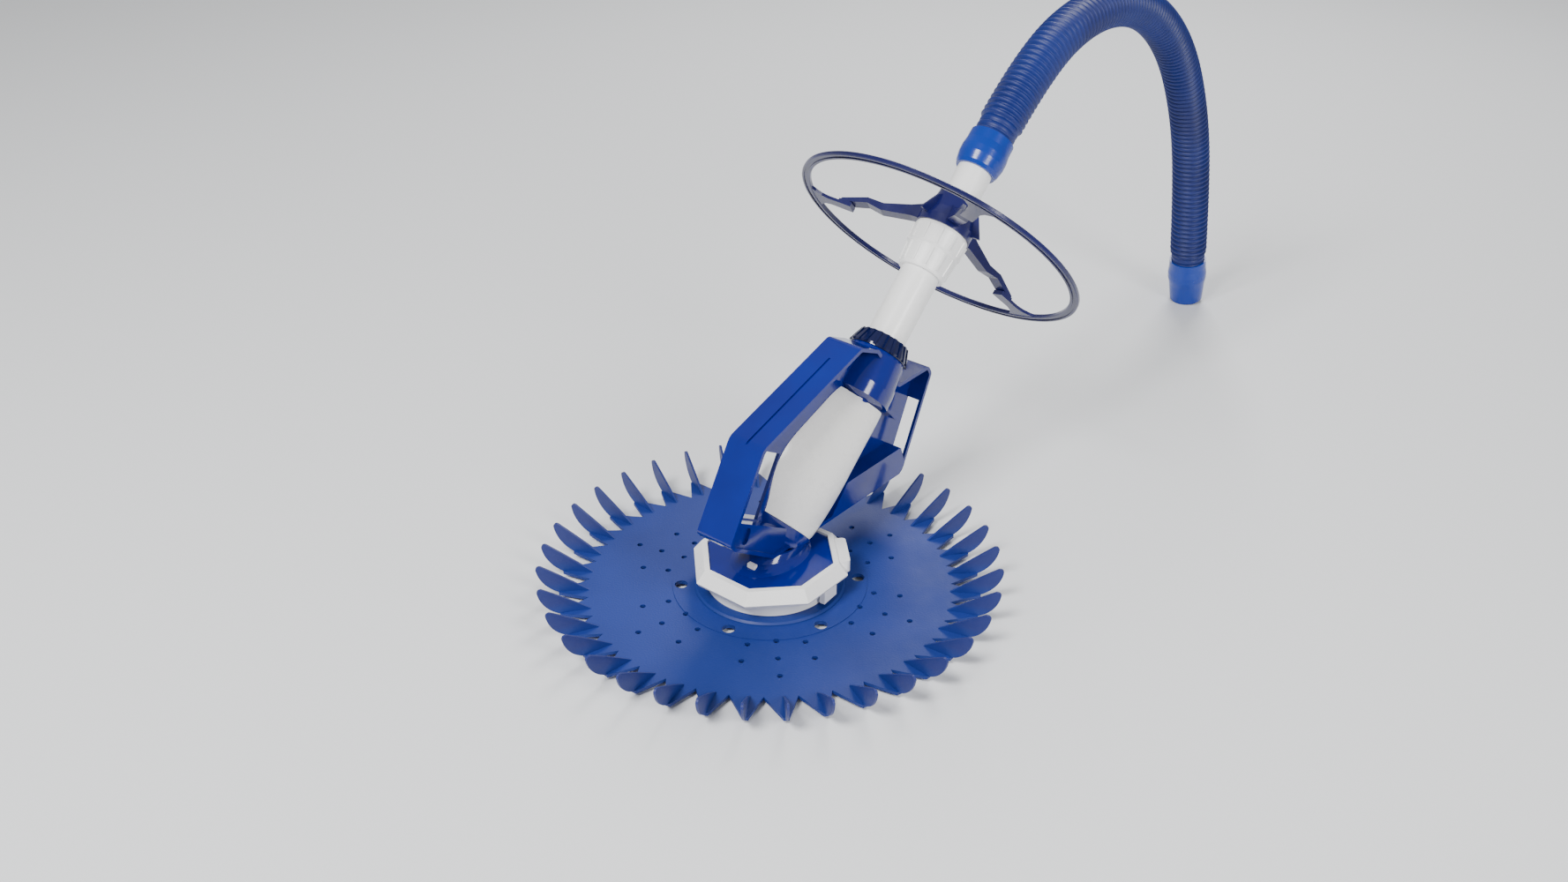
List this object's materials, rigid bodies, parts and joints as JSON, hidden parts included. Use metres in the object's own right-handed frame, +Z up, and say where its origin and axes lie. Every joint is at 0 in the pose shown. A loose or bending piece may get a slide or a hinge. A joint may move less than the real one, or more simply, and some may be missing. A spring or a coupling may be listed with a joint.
{
  "type": "pool cleaner",
  "caption": "Suction pool cleaner: flat finned disc round an octagonal foot, leaning looped frame with float, pipe, three-spoked deflector wheel and a hose section.",
  "frame": {"origin": "on the floor at the middle of the round foot, under the centre of the finned disc", "axes": "+Z up, +X the way the pipe leans, -Y the side of the near float half"},
  "size_m": [1.1955, 0.479, 0.5078],
  "materials": {
    "disc_blue": "matte",
    "body_blue": "gloss",
    "pad_rubber": "matte",
    "white": "satin",
    "float_white": "satin",
    "foam": "matte",
    "ballast_iron": "rough",
    "grey_plastic": "matte",
    "black_rubber": "matte",
    "nut_navy": "gloss",
    "wheel_navy": "gloss",
    "cuff_blue": "gloss",
    "hose_blue": "satin"
  },
  "bodies": {
    "cleaner": {"foot_shell": "body_blue", "snap_tab": "white", "foot_pad": "pad_rubber", "swivel_ring": "white", "octagon_ring": "white", "latch_tab": "white", "frame": "body_blue", "float_near": "float_white", "float_far": "float_white", "foam_near": "foam", "foam_far": "foam", "ballast": "ballast_iron", "ballast_cap": "body_blue", "cassette_shell": "grey_plastic", "diaphragm": "black_rubber", "cassette_ring": "grey_plastic", "outer_pipe": "white", "pipe_seal": "black_rubber", "coupling_seal": "black_rubber", "inner_pipe": "white", "wheel_clip": "wheel_navy", "hose_tube": "hose_blue"},
    "disc": {"finned_disc": "disc_blue"},
    "clamp": {"clamp_ring": "white"},
    "nut": {"hand_nut": "nut_navy"},
    "collar": {"coupling_collar": "white"},
    "wheel": {"deflector_wheel": "wheel_navy"},
    "near_cuff": {"hose_cuff": "cuff_blue"},
    "end_cuff": {"far_cuff": "cuff_blue"}
  },
  "joints": [
    {"name": "disc_spin", "type": "hinge", "parent": "cleaner", "child": "disc", "pos_m": [0, 0, 0.006], "axis": [0, 0, 1], "continuous": true},
    {"name": "clamp_lift", "type": "slide", "parent": "cleaner", "child": "clamp", "axis": [0.7373, 0, 0.6756], "range_m": [0, 0.0061]},
    {"name": "nut_turn", "type": "hinge", "parent": "clamp", "child": "nut", "pos_m": [0.17695, 0, 0.20314], "axis": [0.7373, 0, 0.6756], "range_deg": [0, 540]},
    {"name": "collar_turn", "type": "hinge", "parent": "cleaner", "child": "collar", "pos_m": [0.26984, 0, 0.28827], "axis": [0.7373, 0, 0.6756], "range_deg": [0, 60]},
    {"name": "wheel_spin", "type": "hinge", "parent": "cleaner", "child": "wheel", "pos_m": [0.28164, 0, 0.29907], "axis": [0.7373, 0, 0.6756], "continuous": true},
    {"name": "cuff_swivel", "type": "hinge", "parent": "cleaner", "child": "near_cuff", "pos_m": [0.35758, 0, 0.36866], "axis": [0.7373, 0, 0.6756], "continuous": true},
    {"name": "end_cuff_swivel", "type": "hinge", "parent": "cleaner", "child": "end_cuff", "pos_m": [0.92576, 0, 0.04988], "axis": [0.1736, 0, -0.9848], "continuous": true}
  ],
  "couplings": [
    {"joint": "clamp_lift", "follows": "nut_turn", "m_per_rad": 0.000637}
  ]
}
